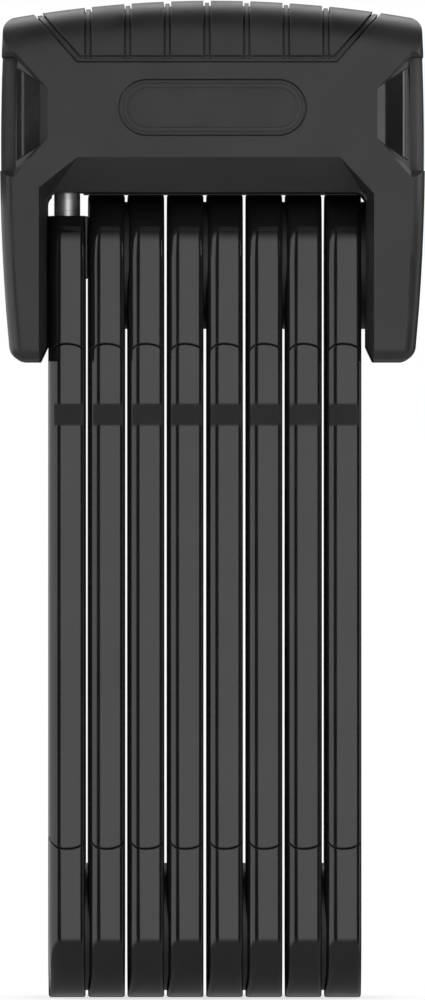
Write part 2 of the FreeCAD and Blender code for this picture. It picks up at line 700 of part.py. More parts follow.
def side_panel(side):
    """Gloss panel in a side window: a lens at the front, flush with the side, rounded at the rear."""
    half = HEAD_DEPTH / 2 - PANEL_SET_BACK
    form = Part.Face(head_outline(PANEL_SIDE_SET_BACK)).extrude(vec(0, 2 * half, 0))
    form.translate(vec(0, -half, 0))
    step_y = PANEL_LENS_DEPTH - half
    face = window_region(side, -RUNNING).common(form)
    face = face.cut(head_room(-HEAD_DEPTH, step_y).cut(lens_region(side)))
    lens_x = HEAD_HALF_WIDTH - PANEL_LENS_SET_BACK
    fall = [(HEAD_HALF_WIDTH - WINDOW_WIDTH, -half), (lens_x, -half), (lens_x, PANEL_LENS_FALL - half)]
    wedge = Part.Face(Part.makePolygon([vec(side * x, y, 100) for x, y in fall + fall[:1]]))
    face = face.cut(wedge.extrude(vec(0, 0, 110)))
    roundings = ((PANEL_ROUND, lens_x, PANEL_LENS_FALL - half), (PANEL_STEP_ROUND, HEAD_HALF_WIDTH, step_y),
                 (PANEL_ROUND, HEAD_HALF_WIDTH, half))
    for radius, x, y in roundings:
        rims = edges_where(face, lambda c, e: abs(abs(c.x) - x) < 0.6 and abs(c.y - y) < 1e-6)
        face = face.makeFillet(radius, rims)
    flange = window_region(side, PANEL_FLANGE).common(head_body(WALL + RUNNING))
    return outside_of(face.fuse(flange), PANEL_SET_BACK + PANEL_THICKNESS).removeSplitter()


def cover_track():
    """Track in the keyhole panel: an open slot with undercut edges for the cover's flanges."""
    lip, flange = COVER_FLANGE
    low_y = -COVER_WIDTH / 2 - COVER_PLAY
    high_y = COVER_WIDTH / 2 + COVER_TRAVEL + COVER_PLAY
    half = COVER_HEIGHT / 2 + COVER_PLAY
    floor = cover_face_x() + COVER_THICKNESS + COVER_PLAY
    z = CYLINDER_AXIS_Z
    mouth = box(-HEAD_HALF_WIDTH - 1, floor, low_y, high_y, z - half, z + half)
    under = box(floor - flange - 2 * COVER_PLAY, floor, low_y, high_y, z - half - lip, z + half + lip)
    return mouth.fuse(under)


def cover_face_x():
    """Outer face of the keyhole cover."""
    return -HEAD_HALF_WIDTH + COVER_SET_BACK


def keyhole_panel():
    """Left side panel with the keyhole and the track of its cover."""
    hole = rod_x(KEYHOLE_RADIUS, -HEAD_HALF_WIDTH - 1, -HEAD_HALF_WIDTH + 8, 0, CYLINDER_AXIS_Z)
    return side_panel(-1).cut(cover_track()).cut(hole).cut(barrel_room())


def keyhole_cover():
    """Cover that slides to the rear off the keyhole, with two finger ribs."""
    lip, flange = COVER_FLANGE
    outer = cover_face_x()
    inner = outer + COVER_THICKNESS
    half_y = COVER_WIDTH / 2
    half_z = COVER_HEIGHT / 2
    z = CYLINDER_AXIS_Z
    plate = box(outer, inner, -half_y, half_y, z - half_z, z + half_z)
    wings = box(inner - flange, inner, -half_y, half_y, z - half_z - lip, z + half_z + lip)
    rib = COVER_RIB_WIDTH / 2
    reach = half_z - COVER_RIB_MARGIN
    top = outer - COVER_RIB_RISE
    ribs = [box(top, outer, y - rib, y + rib, z - reach, z + reach) for y in COVER_RIB_PLACES]
    return plate.multiFuse([wings] + ribs).removeSplitter()


# ---------------------------------------------------------------- emblem

def emblem_plate():
    """Plain stadium emblem with a raised rim."""
    face = -HEAD_DEPTH / 2
    z = EMBLEM_CENTRE_Z
    blank = stadium_plate(EMBLEM_WIDTH, EMBLEM_HEIGHT, face - EMBLEM_RISE, face + EMBLEM_POCKET - TIGHT, z)
    rims = edges_where(blank, lambda c, e: abs(c.y - face + EMBLEM_RISE) < 1e-6)
    blank = blank.makeFillet(EMBLEM_RISE * 0.8, rims)
    width, height = EMBLEM_WIDTH - 2 * EMBLEM_RIM, EMBLEM_HEIGHT - 2 * EMBLEM_RIM
    field = stadium_plate(width, height, face - EMBLEM_RISE - 1, face, z)
    return blank.cut(field)


# ---------------------------------------------------------------- lock case

def case_blank(grow=0.0):
    """Hardened block across the head with the leg that carries the head pivot."""
    half = CASE_DEPTH / 2 + grow
    block = box(CASE_LEFT_X - grow, CASE_RIGHT_X + grow, -half, half, CASE_LOW_Z - grow, CASE_TOP_Z + grow)
    rims = edges_where(block, lambda c, e: abs(c.z - CASE_TOP_Z - grow) < 1e-6)
    block = block.makeChamfer(CASE_CHAMFER, rims)
    left = CASE_RIGHT_X - LEG_THICKNESS - grow
    leg = stadium_bar(left, CASE_RIGHT_X + grow, PLATE_RADIUS + grow, TOP_PIVOT_Z, CASE_LOW_Z + 2)
    return block.fuse(leg)


def catch_slot(grow, depth):
    """Slot for the locking pin, open below and to the rear, as far as y = depth."""
    half = CATCH_HALF_WIDTH + grow
    top = PIN_TIP_Z + CATCH_HEADROOM + grow
    end = rod_z(half, UNDERSIDE_Z - 1, top, PIN_X, 0)
    return end.fuse(box(PIN_X - half, PIN_X + half, 0, depth, UNDERSIDE_Z - 1, top))


def bolt_channel():
    """Straight channel for the bolt, open at the left end, with the slot for its stud."""
    half = BOLT_WIDTH / 2 + BOLT_PLAY
    right = bolt_right_x() + BOLT_REST_GAP
    channel = box(CASE_LEFT_X - 1, right, -half, half, BOLT_LOW_Z - BOLT_PLAY, BOLT_TOP_Z + BOLT_PLAY)
    reach = STUD_RADIUS + STUD_PLAY
    low_x = stud_x() - BOLT_TRAVEL - reach
    stud_slot = box(low_x, stud_x() + reach, -reach, reach, BOLT_TOP_Z, CYLINDER_AXIS_Z)
    z = (BOLT_LOW_Z + BOLT_TOP_Z) / 2
    bore_end = bolt_right_x() + SPRING_LENGTH + RUNNING
    spring_bore = rod_x(BOLT_THICKNESS / 2 + BOLT_PLAY, right - 1, bore_end, 0, z)
    return channel.multiFuse([stud_slot, spring_bore])


def lock_case():
    """Lock case with its cylinder bore, bolt channel, catch slot, head pivot and screw holes."""
    case = case_blank()
    case = case.cut(rod_x(BARREL_RADIUS + TIGHT, CASE_LEFT_X - 1, CAM_RIGHT_X + 0.4, 0, CYLINDER_AXIS_Z))
    case = case.cut(bolt_channel()).cut(catch_slot(0, CASE_DEPTH))
    left = CASE_RIGHT_X - LEG_THICKNESS - 1
    case = case.cut(rod_x(RIVET_RADIUS + TIGHT, left, CASE_RIGHT_X + 1, 0, TOP_PIVOT_Z))
    seat = CASE_RIGHT_X - RIVET_HEAD_SINK
    case = case.cut(rod_x(RIVET_HEAD_RADIUS + TIGHT, seat, CASE_RIGHT_X + 1, 0, TOP_PIVOT_Z))
    for x, z in screw_places():
        case = case.cut(rod_y(SCREW_RADIUS + 0.3, -CASE_DEPTH, CASE_DEPTH, x, z))
    return case


# ---------------------------------------------------------------- key cylinder

def key_slot_cutter(x_low, x_high):
    """Key-shaped slot through the cylinder's discs."""
    wide, tall = KEY_SLOT
    z = CYLINDER_AXIS_Z
    return box(x_low, x_high, -wide / 2, wide / 2, z - tall / 2, z + tall / 2)


def sidebar_z():
    """Axis height of the sidebar in the core's slot, at the top of the core."""
    return CYLINDER_AXIS_Z + CORE_RADIUS - SIDEBAR_RADIUS - RUNNING


def core_left_x():
    """Left end of the turning core, behind the anti-drill disc."""
    return BARREL_LEFT_X + DRILL_DISC_THICKNESS + RUNNING


def cylinder_barrel():
    """Fixed barrel; the groove on its rear side is for the sidebar when the lock is shut."""
    z = CYLINDER_AXIS_Z
    barrel = rod_x(BARREL_RADIUS, BARREL_LEFT_X, BARREL_RIGHT_X, 0, z)
    barrel = barrel.cut(rod_x(CORE_RADIUS + RUNNING, BARREL_LEFT_X - 1, BARREL_RIGHT_X + 1, 0, z))
    offset = sidebar_z() - z + SIDEBAR_RADIUS
    return barrel.cut(rod_x(SIDEBAR_RADIUS, core_left_x(), BARREL_RIGHT_X - CORE_REAR_WALL, offset, z))


def barrel_room():
    """Room that the panel and the shell leave for the barrel's left end."""
    return rod_x(BARREL_RADIUS + 0.1, BARREL_LEFT_X - 0.1, CASE_LEFT_X, 0, CYLINDER_AXIS_Z)


def driving_tongue(play):
    """Flat tongue of the core, or with `play` the slot for it in the cam."""
    deep, wide, thick = CORE_TONGUE
    half_y, half_z = wide / 2 + play, thick / 2 + play
    z = CYLINDER_AXIS_Z
    left, right = CAM_LEFT_X - RUNNING - play, CAM_LEFT_X + deep + 2 * play
    return box(left, right, -half_y, half_y, z - half_z, z + half_z)


def cylinder_core():
    """Turning core: a tube for the discs, a slot for the sidebar and a stub with a driving tongue."""
    z = CYLINDER_AXIS_Z
    left = core_left_x()
    wall = BARREL_RIGHT_X - CORE_REAR_WALL
    core = rod_x(CORE_RADIUS, left, BARREL_RIGHT_X, 0, z)
    core = core.cut(rod_x(CORE_BORE_RADIUS, left - 1, wall, 0, z))
    slot = SIDEBAR_RADIUS + RUNNING
    slot_low = z + CORE_BORE_RADIUS - 0.5
    core = core.cut(box(left + 0.8, wall, -slot, slot, slot_low, z + CORE_RADIUS + 1))
    stub = rod_x(CORE_STUB_RADIUS, BARREL_RIGHT_X, CAM_LEFT_X - RUNNING, 0, z)
    core = core.multiFuse([stub, driving_tongue(0.0)]).removeSplitter()
    groove = rod_x(CORE_STUB_RADIUS + 1, clip_x(), clip_x() + CLIP_THICKNESS + TIGHT, 0, z)
    return core.cut(groove.cut(rod_x(CORE_STUB_RADIUS - CLIP_GROOVE_DEPTH, clip_x(), clip_x() + 2, 0, z)))


def clip_x():
    """Left face of the retaining clip on the core's stub."""
    return BARREL_RIGHT_X + RUNNING


def cylinder_clip():
    """Open spring clip in the stub's groove that keeps the core in the barrel."""
    z = CYLINDER_AXIS_Z
    left = clip_x() + TIGHT / 2
    right = left + CLIP_THICKNESS - TIGHT
    clip = rod_x(CORE_RADIUS - 0.2, left, right, 0, z)
    clip = clip.cut(rod_x(CORE_STUB_RADIUS - CLIP_GROOVE_DEPTH + TIGHT, left, right, 0, z))
    return clip.cut(box(left, right, -CLIP_OPENING / 2, CLIP_OPENING / 2, z - CORE_RADIUS, z))


def anti_drill_disc():
    """Hardened disc with the key opening at the mouth of the barrel."""
    disc = rod_x(CORE_RADIUS, BARREL_LEFT_X, BARREL_LEFT_X + DRILL_DISC_THICKNESS, 0, CYLINDER_AXIS_Z)
    return disc.cut(key_slot_cutter(BARREL_LEFT_X - 1, BARREL_LEFT_X + 3))


def disc_pack():
    """Coded discs in the core, each with the key slot and a notch for the sidebar."""
    discs = []
    left = core_left_x() + DISC_GAP
    for index in range(DISC_COUNT):
        x = left + index * (DISC_THICKNESS + DISC_GAP)
        disc = rod_x(CORE_BORE_RADIUS - RUNNING, x, x + DISC_THICKNESS, 0, CYLINDER_AXIS_Z)
        disc = disc.cut(key_slot_cutter(x - 1, x + DISC_THICKNESS + 1))
        discs.append(disc.cut(rod_x(SIDEBAR_RADIUS + RUNNING, x - 1, x + 3, 0, sidebar_z())))
    return Part.makeCompound(discs)


def sidebar():
    """Bar that drops into the disc notches and lets the core turn."""
    left = core_left_x() + 0.9
    return rod_x(SIDEBAR_RADIUS, left, BARREL_RIGHT_X - CORE_REAR_WALL - RUNNING, 0, sidebar_z())


# ---------------------------------------------------------------- bolt work

def stud_x():
    """Stud position at rest, near the right end of the barrel cam."""
    return CAM_RIGHT_X - STUD_RADIUS - STUD_PLAY - STUD_TO_CAM_END


def bolt_left_x():
    """Tips of the bolt's fork at rest, just clear of the catch slot."""
    return PIN_X + CATCH_HALF_WIDTH + BOLT_REST_GAP


def bolt_right_x():
    """Right end of the bolt at rest, where its spring starts."""
    return stud_x() + STUD_RADIUS + BOLT_TAIL


def lock_bolt():
    """Forked bolt that slides left round the neck of the pin, with the stud that the cam drives."""
    half = BOLT_WIDTH / 2
    plate = box(bolt_left_x(), bolt_right_x(), -half, half, BOLT_LOW_Z, BOLT_TOP_Z)
    gap = NECK_RADIUS + BOLT_FORK_GAP
    root = PIN_X + NECK_RADIUS + BOLT_FORK_GAP + BOLT_TRAVEL
    fork = box(bolt_left_x() - 1, root, -gap, gap, BOLT_LOW_Z - 1, BOLT_TOP_Z + 1)
    tips = edges_where(plate, lambda c, e: abs(c.x - bolt_left_x()) < 1e-6 and abs(abs(c.y) - half) < 1e-6)
    plate = plate.makeChamfer(BOLT_TIP_CHAMFER, tips).cut(fork)
    top = CYLINDER_AXIS_Z - CAM_RADIUS + GROOVE_DEPTH - STUD_PLAY
    return plate.fuse(rod_z(STUD_RADIUS, BOLT_TOP_Z - 1, top, stud_x(), 0)).removeSplitter()


def barrel_cam():
    """Barrel cam whose quarter-turn helical groove drives the bolt's stud along X."""
    z = CYLINDER_AXIS_Z
    cam = rod_x(CAM_RADIUS, CAM_LEFT_X, CAM_RIGHT_X, 0, z)
    cam = cam.cut(rod_x(CAM_BORE_RADIUS, CAM_LEFT_X + 2, CAM_RIGHT_X + 1, 0, z))
    steps = int(LOCK_TURN_DEG / GROOVE_STEP_DEG)
    centre = vec(0, 0, z)
    cutters = []
    for step in range(steps + 1):
        turned = step / steps
        x = stud_x() - BOLT_TRAVEL * turned
        cutter = rod_z(STUD_RADIUS + STUD_PLAY, z - CAM_RADIUS - 1, z - CAM_RADIUS + GROOVE_DEPTH, x, 0)
        cutter.rotate(centre, vec(1, 0, 0), LOCK_TURN_DEG * turned)
        cutters.append(cutter)
    groove = cutters[0].multiFuse(cutters[1:])
    return cam.cut(driving_tongue(RUNNING)).cut(groove)


def bolt_spring():
    """Compression spring that pushes the bolt towards the pin."""
    z = (BOLT_LOW_Z + BOLT_TOP_Z) / 2
    wire = SPRING_WIRE_RADIUS
    length = SPRING_LENGTH - 2 * (wire + SPRING_END_GAP)
    helix = Part.makeHelix(length / SPRING_TURNS, length, SPRING_COIL_RADIUS)
    start = vec(SPRING_COIL_RADIUS, 0, 0)
    section = Part.Wire(Part.makeCircle(wire, start, vec(0, 1, 0)))
    coil = Part.Wire(helix.Edges).makePipeShell([section], True, True)
    coil.rotate(vec(0, 0, 0), vec(0, 1, 0), 90)
    coil.translate(vec(bolt_right_x() + wire + SPRING_END_GAP, 0, z))
    return coil


# ---------------------------------------------------------------- shells and screws

def screw_places():
    """Front-view positions of the shell screws: two through the case, two in the left arm."""
    arm_x = LEFT_ARM_INNER_X - ARM_SCREW_INSET
    arm_heights = (ARM_TIP_Z + ARM_SCREW_ABOVE_TIP, UNDERSIDE_Z - ARM_SCREW_BELOW_UNDERSIDE)
    return [(CASE_SCREW_X, z) for z in CASE_SCREW_HEIGHTS] + [(arm_x, z) for z in arm_heights]


def screw_head_y():
    """Outer face of the screw heads, sunk in the rear shell."""
    return HEAD_DEPTH / 2 - SCREW_HEAD_SINK


def shell_screws():
    """Four socket screws from the rear shell into the front shell."""
    screws = []
    outer = screw_head_y()
    for x, z in screw_places():
        shank = rod_y(SCREW_RADIUS, -HEAD_DEPTH / 2 + WALL + 1, outer - SCREW_HEAD_HEIGHT, x, z)
        head = rod_y(SCREW_HEAD_RADIUS, outer - SCREW_HEAD_HEIGHT, outer, x, z)
        turns = [math.radians(angle) for angle in range(0, 360, 60)]
        hexagon = [(x + HEX_RADIUS * math.cos(a), z + HEX_RADIUS * math.sin(a)) for a in turns]
        socket = prism_y(hexagon, outer - SCREW_SOCKET_DEPTH, outer + 1)
        screws.append(shank.fuse(head).cut(socket))
    return Part.makeCompound(screws)


def shell_body():
    """Whole shell before it is parted: outer form, cavity, bosses and every opening."""
    cavity = head_body(WALL)
    catch_wall = catch_slot(1.6, HEAD_DEPTH / 2).common(head_body(WALL - 0.5))
    bosses = []
    for x, z in screw_places():
        for low, high in ((-HEAD_DEPTH / 2 + 1, 0), (0, HEAD_DEPTH / 2 - 1)):
            bosses.append(rod_y(BOSS_RADIUS, low, high, x, z))
    solid_parts = Part.makeCompound(bosses).common(head_body(WALL - 0.5))
    shell = head_body().cut(cavity).multiFuse([catch_wall] + solid_parts.Solids)
    shell = shell.cut(case_blank(0.1)).cut(catch_slot(0.2, HEAD_DEPTH))
    shell = shell.cut(rod_x(WASHER_RADIUS + 0.1, RIGHT_ARM_INNER_X - 1, CASE_RIGHT_X, 0, TOP_PIVOT_Z))
    shell = shell.cut(outside_of(grip_region(), GRIP_THICKNESS + TIGHT)).cut(beaded_groove(grip_ring))
    for side in (-1, 1):
        shell = shell.cut(window_region(side).cut(head_body(PANEL_SET_BACK + PANEL_THICKNESS + 0.1)))
        flange = window_region(side, PANEL_FLANGE + 0.1).common(head_body(WALL))
        shell = shell.cut(outside_of(flange, PANEL_SET_BACK + PANEL_THICKNESS + 0.1))
        for cutter in window_facets(side):
            shell = shell.cut(cutter)
    return shell.cut(barrel_room())


def front_shell(shell):
    """Front half of the shell with the emblem pocket and the screw pilot holes."""
    face = -HEAD_DEPTH / 2
    width, height = EMBLEM_WIDTH + 2 * RUNNING, EMBLEM_HEIGHT + 2 * RUNNING
    pocket = stadium_plate(width, height, face - 1, face + EMBLEM_POCKET, EMBLEM_CENTRE_Z)
    half = shell.common(head_room(-HEAD_DEPTH, 0)).cut(pocket)
    for x, z in screw_places():
        half = half.cut(rod_y(SCREW_RADIUS + TIGHT, face + WALL, 1, x, z))
    return half


def rear_shell(shell):
    """Rear half of the shell with the counterbored screw holes."""
    half = shell.common(head_room(0, HEAD_DEPTH))
    seat = screw_head_y() - SCREW_HEAD_HEIGHT - TIGHT
    for x, z in screw_places():
        half = half.cut(rod_y(SCREW_RADIUS + 0.1, -1, HEAD_DEPTH, x, z))
        half = half.cut(rod_y(SCREW_HEAD_RADIUS + 0.1, seat, HEAD_DEPTH, x, z))
    return half


# ---------------------------------------------------------------- build

def head_parts():
    """Every sub-part of the head by node name."""
    shell = shell_body()
    return {
        "front_shell": front_shell(shell),
        "rear_shell": rear_shell(shell),
        "grip_insert": grip_insert(),
        "emblem_plate": emblem_plate(),
        "keyhole_panel": keyhole_panel(),
        "side_panel": side_panel(1),
        "keyhole_cover": keyhole_cover(),
        "lock_case": lock_case(),
        "cylinder_barrel": cylinder_barrel(),
        "cylinder_core": cylinder_core(),
        "cylinder_clip": cylinder_clip(),
        "anti_drill_disc": anti_drill_disc(),
        "disc_pack": disc_pack(),
        "sidebar": sidebar(),
        "barrel_cam": barrel_cam(),
        "lock_bolt": lock_bolt(),
        "bolt_spring": bolt_spring(),
        "shell_screws": shell_screws(),
    }


def link_parts():
    """Every sub-part of the links and hinges by node name."""
    parts = {"locking_pin": locking_pin(), "cross_pin": cross_pin()}
    for number in range(1, LINK_COUNT + 1):
        parts[f"link_plate_{number}"] = link_plate(number)
        parts[f"link_sleeve_{number}"] = link_sleeve(number)
        parts[f"link_caps_{number}"] = link_caps(number)
        parts[f"rivet_{number}"] = rivet(number)
        parts[f"washer_{number}"] = washer(number)
    return parts


def main():
    """Build every sub-part and write one STEP file for each."""
    os.makedirs("parts", exist_ok=True)
    parts = {**head_parts(), **link_parts()}
    for name, shape in parts.items():
        shape.exportStep(f"parts/{name}.step")
    print(f"{len(parts)} parts written")


if __name__ == "__main__":
    main()
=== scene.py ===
"""Looks of the folding bike lock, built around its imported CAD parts. Metres, in the CAD frame."""
import bmesh
import bpy
import json
import math
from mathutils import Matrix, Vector

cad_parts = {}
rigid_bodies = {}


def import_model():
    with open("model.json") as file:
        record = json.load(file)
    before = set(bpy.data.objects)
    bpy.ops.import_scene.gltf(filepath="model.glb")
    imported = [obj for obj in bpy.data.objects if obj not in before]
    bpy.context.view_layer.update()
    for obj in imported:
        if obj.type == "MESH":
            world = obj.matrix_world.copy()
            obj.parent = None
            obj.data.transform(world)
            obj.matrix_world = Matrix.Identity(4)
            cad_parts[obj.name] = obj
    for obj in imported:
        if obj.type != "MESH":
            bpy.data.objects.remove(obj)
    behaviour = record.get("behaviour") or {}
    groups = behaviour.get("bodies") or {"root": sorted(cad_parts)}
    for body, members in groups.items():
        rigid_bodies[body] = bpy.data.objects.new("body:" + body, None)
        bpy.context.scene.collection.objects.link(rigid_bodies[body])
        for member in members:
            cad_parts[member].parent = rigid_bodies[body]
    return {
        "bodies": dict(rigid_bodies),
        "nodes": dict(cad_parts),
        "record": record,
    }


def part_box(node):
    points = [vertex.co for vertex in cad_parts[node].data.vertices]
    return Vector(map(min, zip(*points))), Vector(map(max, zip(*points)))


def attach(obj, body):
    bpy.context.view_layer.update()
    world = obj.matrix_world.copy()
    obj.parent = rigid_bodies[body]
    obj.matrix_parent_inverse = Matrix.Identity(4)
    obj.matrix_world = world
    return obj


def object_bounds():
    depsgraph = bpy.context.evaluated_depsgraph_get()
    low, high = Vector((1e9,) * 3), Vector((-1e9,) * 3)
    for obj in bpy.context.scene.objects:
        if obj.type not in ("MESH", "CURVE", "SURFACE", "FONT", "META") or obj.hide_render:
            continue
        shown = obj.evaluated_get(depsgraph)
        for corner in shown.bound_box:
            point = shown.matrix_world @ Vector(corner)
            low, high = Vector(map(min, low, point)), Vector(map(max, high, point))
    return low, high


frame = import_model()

CAD_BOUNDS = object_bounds()
MM = 0.001
NODES = frame["nodes"]
BODY_OF = {node: body for body, nodes in frame["record"]["behaviour"]["bodies"].items() for node in nodes}
LINK_COUNT = sum(1 for body in frame["bodies"] if body.startswith("link_"))

# Camera
CAMERA_DISTANCE = 3.0
CAMERA_SENSOR = 36.0
CAMERA_REACH = 20.0
FRONT_PLANE_SHARE = 0.8

# Materials. Noise values lie mostly inside CLOUD_SPAN.
CLOUD_SPAN = (0.3, 0.7)
BEVEL_SAMPLES = 6
EDGE_RADIUS = 0.35 * MM
WEAR_RADIUS = 0.3 * MM
WEAR_SPAN = (0.02, 0.25)
STAIN_SHARE = 0.7
LENS_DEPTH = 4.6 * MM
LENS_EDGE = (0.3 * MM, 0.1 * MM)

# Moulded plastics: grey level, roughness, size and depth of the grain, grey level on worn edges
MOULDED = {
    "head_plastic": (0.020, 0.38, 0.16 * MM, 0.007 * MM, 0.045),
    "grip_soft": (0.018, 0.42, 0.10 * MM, 0.005 * MM, 0.04),
    "emblem_plastic": (0.018, 0.38, 0.12 * MM, 0.005 * MM, 0.045),
    "washer_plastic": (0.018, 0.45, 0.10 * MM, 0.004 * MM, 0.03),
}
# Glossy plastics: grey level, roughness, depth of the ripple, grey level on worn edges, edge radius
GLOSSY = {
    "cover_gloss": (0.014, 0.24, 0.004 * MM, 0.04, 0.15 * MM),
    "link_coating": (0.009, 0.06, 0.0005 * MM, 0.012, 0.3 * MM),
}
# Metals: colour, roughness, scale of the brush noise along each axis (small makes long lines)
METALS = {
    "hardened_steel": ((0.3, 0.3, 0.31), 0.36, (1.0, 1.0, 0.05)),
    "bright_steel": ((0.44, 0.44, 0.46), 0.26, (0.05, 1.0, 1.0)),
    "spring_steel": ((0.5, 0.5, 0.5), 0.3, (0.2, 1.0, 1.0)),
    "screw_steel": ((0.05, 0.05, 0.05), 0.4, (1.0, 0.2, 1.0)),
    "rivet_black": ((0.06, 0.06, 0.063), 0.34, (1.0, 0.2, 0.2)),
    "brass_body": ((0.72, 0.53, 0.24), 0.3, (1.0, 0.1, 0.1)),
}

# Lights: place from the lock's centre, width and height, watts
LIGHTS = {
    "key": ((0.26, -0.26, 0.04), (0.3, 0.3), 0.36),
    "fill": ((-0.8, -0.6, 0.05), (0.6, 0.9), 0.8),
    "back": ((0.3, 1.0, 0.3), (0.9, 0.7), 6.0),
    "crown": ((0.0, 0.7, 0.6), (0.8, 0.35), 0.9),
}
PIN_LIGHT = ((0.15, -0.6, 0.1), (0.6, 0.6), 1.0)

# Studio in degrees: azimuth from the front towards the right, elevation from the horizon.
# FRONT_BLUR and REAR_DEPTH are parts of a unit direction along Y.
ROOM_LEVEL = 0.02
CARD_LEVEL = 1.65
CARD_AZIMUTH = (-6.0, 18.0)
CARD_TOP = (36.0, 60.0)
CARD_LOW = (-24.0, -16.0)
CARD_BLUR = 1.5
FRONT_BLUR = 0.02
LEFT_LEVEL = 1.6
LEFT_AZIMUTH = (-34.0, -31.0)
RIGHT_LEVEL = 1.6
RIGHT_AZIMUTH = (70.0, 88.0)
REAR_LEVEL = 3.2
REAR_ELEVATION = (20.0, 45.0)
REAR_DEPTH = (0.12, 0.55)
TABLE_LEVEL = 0.35

# Table, and cards that show only in mirror images
TABLE_HALF_SIZE = 0.9
TABLE_DROP = 0.05 * MM
TABLE_TONES = (0.80, 0.84)
CONTACT_SPAN = (0.2, 0.95)
CONTACT_REACH = 25 * MM
CONTACT_LEVEL = 0.72
CONTACT_SAMPLES = 8
FLAG_SHARE = (0.758, 0.791)
FLAG_DISTANCE = 16 * MM
FLAG_REACH = 30 * MM
FLAG_LEVEL = 0.45
SIDE_CARD_DISTANCE = 18 * MM
SIDE_CARD_MARGIN = 5 * MM
# Side cards: front and rear edges from the head's front, brightness
SHOULDER_FLAG = (-12 * MM, 44 * MM, 0.06)
LENS_CARD = (-15 * MM, -5 * MM, 3.5)

# Added pieces. DOME_PROFILE has the radius and the height over the rivet's end, in millimetres.
SMOOTH_LIMIT = math.radians(50)
LATHE_SEGMENTS = 64
RING_PITCH = 0.32 * MM
RING_LIFT = 0.012 * MM
RING_HEIGHT = 0.03 * MM
RING_CREST = (0.35, 0.7)
RING_UNEVEN = 0.4
RING_PHASE = 2.4
RING_END_GAP = 0.05 * MM
PIN_SEAT_BELOW_TIP = 17.0 * MM
NECK_BELOW_TIP = (3.0 * MM, 6.4 * MM)
PIN_CHAMFER = 0.8 * MM
DOME_PROFILE = ((0.0, 0.03), (0.8, 0.05), (1.5, 0.15), (2.4, 0.21), (4.0, 0.2), (5.2, 0.1), (5.9, -0.05))
BEAD_INSET = 0.75 * MM
BEAD_RADIUS = 0.11 * MM
BEAD_ARC_STEPS = 24
BEAD_SECTION = [math.radians(angle) for angle in range(-30, 211, 40)]


# ---------------------------------------------------------------- shader graph helper

class Graph:
    """Short way to add and wire shader nodes in one material or world."""

    def __init__(self, tree):
        self.tree = tree
        tree.nodes.clear()

    def add(self, kind, inputs=None, **settings):
        """New node; `inputs` maps socket names or numbers to values or to other nodes' outputs."""
        node = self.tree.nodes.new("ShaderNode" + kind)
        for key, value in settings.items():
            setattr(node, key, value)
        for key, value in (inputs or {}).items():
            self.set(node, key, value)
        return node

    def set(self, node, key, value):
        """Value or link for one input."""
        if isinstance(value, bpy.types.NodeSocket):
            self.tree.links.new(value, node.inputs[key])
        else:
            node.inputs[key].default_value = value

    def math(self, operation, a, b=0.0):
        """Result of one arithmetic step."""
        return self.add("Math", {0: a, 1: b}, operation=operation).outputs[0]

    def ramp(self, value, low, high, to_low=0.0, to_high=1.0):
        """Value moved smoothly from one range to another."""
        inputs = {"Value": value, "From Min": low, "From Max": high, "To Min": to_low, "To Max": to_high}
        return self.add("MapRange", inputs, interpolation_type="SMOOTHSTEP").outputs["Result"]

    def place(self, scale=(1.0, 1.0, 1.0)):
        """Object coordinates times `scale`; a small scale makes a pattern long on that axis."""
        coords = self.add("TexCoord").outputs["Object"]
        return self.add("Mapping", {"Vector": coords, "Scale": scale}).outputs["Vector"]

    def noise(self, size, detail=2.0, rough=0.5, stretch=(1.0, 1.0, 1.0)):
        """Cloudy noise with features of about `size` metres."""
        inputs = {"Vector": self.place(stretch), "Scale": 1.0 / size, "Detail": detail, "Roughness": rough}
        return self.add("TexNoise", inputs).outputs["Fac"]

    def mix(self, factor, a, b):
        """Colour between a and b."""
        node = self.add("Mix", data_type="RGBA")
        self.set(node, 0, factor)
        self.set(node, 6, a)
        self.set(node, 7, b)
        return node.outputs[2]

    def bump(self, height, depth, normal=None):
        """Normal tilted by a height field `depth` metres deep."""
        node = self.add("Bump", {"Height": height, "Distance": depth, "Strength": 1.0})
        if normal is not None:
            self.set(node, "Normal", normal)
        return node.outputs["Normal"]

    def soft_edge(self, radius):
        """Normal rounded over sharp edges."""
        return self.add("Bevel", {"Radius": radius}, samples=BEVEL_SAMPLES).outputs["Normal"]

    def wear(self, radius):
        """1 on convex and concave edges, 0 on open faces."""
        flat = self.add("NewGeometry").outputs["Normal"]
        round_normal = self.soft_edge(radius)
        dot = self.add("VectorMath", {0: flat, 1: round_normal}, operation="DOT_PRODUCT").outputs["Value"]
        return self.ramp(self.math("SUBTRACT", 1.0, dot), *WEAR_SPAN)


def grey(level):
    """Opaque linear grey."""
    return (level, level, level, 1.0)


def make_material(name):
    """Empty material and its graph."""
    material = bpy.data.materials.new(name)
    material.use_nodes = True
    graph = Graph(material.node_tree)
    return material, graph


def finish(graph, **sockets):
    """Principled surface from named sockets."""
    shader = graph.add("BsdfPrincipled", {key.replace("_", " "): value for key, value in sockets.items()})
    graph.add("OutputMaterial", {"Surface": shader.outputs[0]})


# ---------------------------------------------------------------- materials

